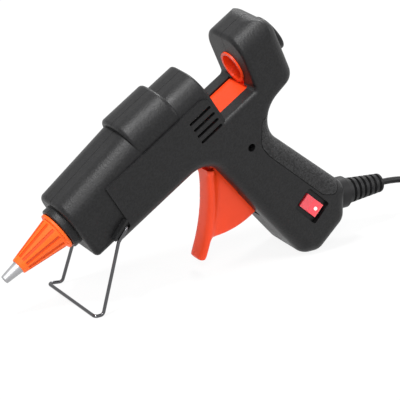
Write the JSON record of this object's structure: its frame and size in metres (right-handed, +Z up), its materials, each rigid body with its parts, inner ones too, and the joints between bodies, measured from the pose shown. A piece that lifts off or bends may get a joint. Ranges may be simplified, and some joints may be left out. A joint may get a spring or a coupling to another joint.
{
  "type": "hot-melt glue gun",
  "caption": "Hot-melt glue gun with a ribbed heat sleeve on the nozzle, lever trigger, stick channel through a rear hump, lit rocker switch, folding wire stand and corded handle.",
  "frame": {"origin": "on the floor under the middle of the gun's box, cord left out", "axes": "+X from the nozzle to the heel, +Y to the gun's right side, +Z up; the gun stands on its handle foot and wire stand"},
  "size_m": [0.3144, 0.0662, 0.1217],
  "materials": {
    "black_plastic": "fine matt texture",
    "orange_plastic": "satin",
    "tip_metal": "brushed",
    "cast_aluminium": "as cast",
    "ceramic": "matt",
    "steel": "bright",
    "silicone": "soft matt",
    "soft_grip": "soft matt",
    "inner_plastic": "natural",
    "red_lens": "gloss",
    "white_mark": "printed",
    "brass_tag": "plain",
    "cord_jacket": "satin",
    "pin_plate": "plated",
    "wire_brown": "satin",
    "wire_blue": "satin"
  },
  "bodies": {
    "gun": {"left_shell": "black_plastic", "right_shell": "black_plastic", "nozzle": "tip_metal", "nozzle_sleeve": "orange_plastic", "front_bush": "silicone", "melt_chamber": "cast_aluminium", "ptc_heater": "ceramic", "heater_wedge": "steel", "stick_seal": "silicone", "seal_clip": "steel", "trigger_pin": "steel", "stick_guide": "orange_plastic", "inlet_collar": "black_plastic", "grip_strap": "soft_grip", "switch_housing": "black_plastic", "switch_terminals": "brass_tag", "housing_screw": "steel", "strain_relief": "cord_jacket", "cord_clamp": "inner_plastic", "clamp_screw": "steel", "cord": "cord_jacket", "cord_coil": "cord_jacket", "cord_tie": "cord_jacket", "plug_body": "cord_jacket", "plug_pin": "pin_plate", "wire_live": "wire_brown", "wire_neutral": "wire_blue", "wire_switched": "wire_brown"},
    "trigger": {"trigger": "orange_plastic", "return_spring": "steel"},
    "carriage": {"feed_carriage": "inner_plastic", "grip_jaw": "steel", "carriage_pin": "steel"},
    "stand": {"wire_stand": "steel"},
    "rocker": {"rocker": "red_lens", "rocker_dot": "white_mark"}
  },
  "joints": [
    {"name": "trigger_pull", "type": "hinge", "parent": "gun", "child": "trigger", "pos_m": [0.00534, 0, 0.05702], "axis": [0, -1, 0], "range_deg": [0, 24], "stiffness_Nm_per_rad": 0.15, "springref_deg": -22.92},
    {"name": "feed_slide", "type": "slide", "parent": "gun", "child": "carriage", "axis": [-0.8387, 0, -0.5446], "range_m": [0, 0.0064]},
    {"name": "stand_fold", "type": "hinge", "parent": "gun", "child": "stand", "pos_m": [-0.04932, 0, 0.03929], "axis": [0, -1, 0], "range_deg": [0, 130]},
    {"name": "switch_rock", "type": "hinge", "parent": "gun", "child": "rocker", "pos_m": [0.05268, -0.0115, 0.02599], "axis": [0.6691, 0, 0.7431], "range_deg": [0, 16]}
  ],
  "couplings": [
    {"joint": "feed_slide", "follows": "trigger_pull", "m_per_rad": 0.0146}
  ]
}
